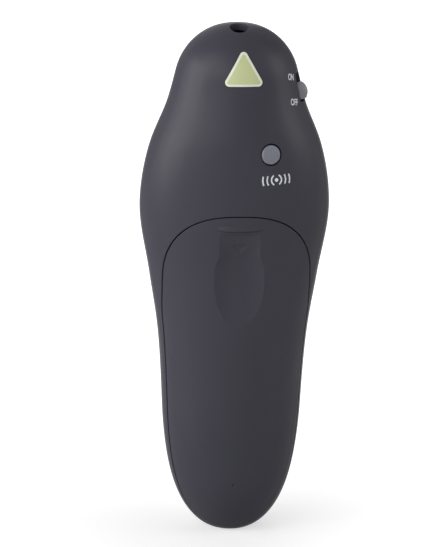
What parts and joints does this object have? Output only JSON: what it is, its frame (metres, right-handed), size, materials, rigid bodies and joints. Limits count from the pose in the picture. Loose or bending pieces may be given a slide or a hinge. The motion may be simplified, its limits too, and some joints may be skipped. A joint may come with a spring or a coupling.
{
  "type": "wireless presentation clicker",
  "caption": "Hand-held presentation remote with a laser in the nose, slide power switch, pairing button, front keys and a sliding battery door.",
  "frame": {"origin": "centre of the flat tail foot, on the plane where the two case halves part", "axes": "+Z along the length from the tail foot to the nose, -Y out of the battery door, +Y out of the keypad"},
  "size_m": [0.0432, 0.027, 0.1175],
  "materials": {
    "case_plastic": "soft-touch matte",
    "inner_plastic": "moulded matte",
    "bezel_plastic": "gloss",
    "key_plastic": "satin",
    "laser_key_plastic": "satin",
    "button_plastic": "satin",
    "knob_plastic": "satin",
    "foam": "closed-cell foam",
    "bright_steel": "plated",
    "brass": "bare",
    "circuit_board": "solder mask",
    "capacitor_ceramic": "fired",
    "led_plastic": "diffusing",
    "lead_insulation": "PVC",
    "lens_glass": "polished",
    "window_glass": "tinted",
    "cell_jacket": "printed sleeve, bare of text",
    "sticker": "printed film, blank"
  },
  "bodies": {
    "case": {"front_shell": "case_plastic", "rear_shell": "case_plastic", "battery_tray": "inner_plastic", "keypad_bezel": "bezel_plastic", "key_switches": "bright_steel", "main_board": "circuit_board", "controller_chip": "inner_plastic", "radio_chip": "inner_plastic", "crystal_can": "bright_steel", "chip_capacitors": "capacitor_ceramic", "antenna": "brass", "status_led": "led_plastic", "led_lens": "led_plastic", "connect_switch": "bright_steel", "power_switch_body": "bright_steel", "switch_leads": "lead_insulation", "laser_barrel": "brass", "laser_lens": "lens_glass", "laser_diode": "bright_steel", "laser_board": "circuit_board", "laser_leads": "lead_insulation", "nose_window": "window_glass", "cell_left": "cell_jacket", "cell_right": "cell_jacket", "lower_contacts": "bright_steel", "upper_contacts": "bright_steel", "left_spring": "bright_steel", "right_spring": "bright_steel", "battery_leads": "brass", "case_screws": "bright_steel", "board_screws": "bright_steel", "blank_sticker": "sticker"},
    "door": {"battery_door": "case_plastic", "door_pad": "foam"},
    "pairing_button": {"connect_button": "button_plastic", "connect_plunger": "inner_plastic"},
    "power_slider": {"power_knob": "knob_plastic"},
    "laser_button": {"laser_key": "laser_key_plastic", "laser_plunger": "inner_plastic"},
    "next_button": {"next_key": "key_plastic", "next_plunger": "inner_plastic"},
    "back_button": {"back_key": "key_plastic", "back_plunger": "inner_plastic"},
    "start_button": {"start_key": "key_plastic", "start_plunger": "inner_plastic"},
    "blank_button": {"blank_key": "key_plastic", "blank_plunger": "inner_plastic"}
  },
  "joints": [
    {"name": "door_slide", "type": "slide", "parent": "case", "child": "door", "axis": [0, 0, -1], "range_m": [0, 0.078]},
    {"name": "pairing_press", "type": "slide", "parent": "case", "child": "pairing_button", "axis": [-0.2588, 0.9565, -0.1344], "range_m": [0, 0.0003], "stiffness_N_per_m": 1000},
    {"name": "power_slide", "type": "slide", "parent": "case", "child": "power_slider", "axis": [-0.2747, 0.1, 0.9563], "range_m": [0, 0.0016]},
    {"name": "laser_press", "type": "slide", "parent": "case", "child": "laser_button", "axis": [0, -1, 0], "range_m": [0, 0.0003], "stiffness_N_per_m": 1000},
    {"name": "next_press", "type": "slide", "parent": "case", "child": "next_button", "axis": [0, -1, 0], "range_m": [0, 0.0003], "stiffness_N_per_m": 1000},
    {"name": "back_press", "type": "slide", "parent": "case", "child": "back_button", "axis": [0, -1, 0], "range_m": [0, 0.0003], "stiffness_N_per_m": 1000},
    {"name": "start_press", "type": "slide", "parent": "case", "child": "start_button", "axis": [0, -1, 0], "range_m": [0, 0.0003], "stiffness_N_per_m": 1000},
    {"name": "blank_press", "type": "slide", "parent": "case", "child": "blank_button", "axis": [0, -1, 0], "range_m": [0, 0.0003], "stiffness_N_per_m": 1000}
  ]
}
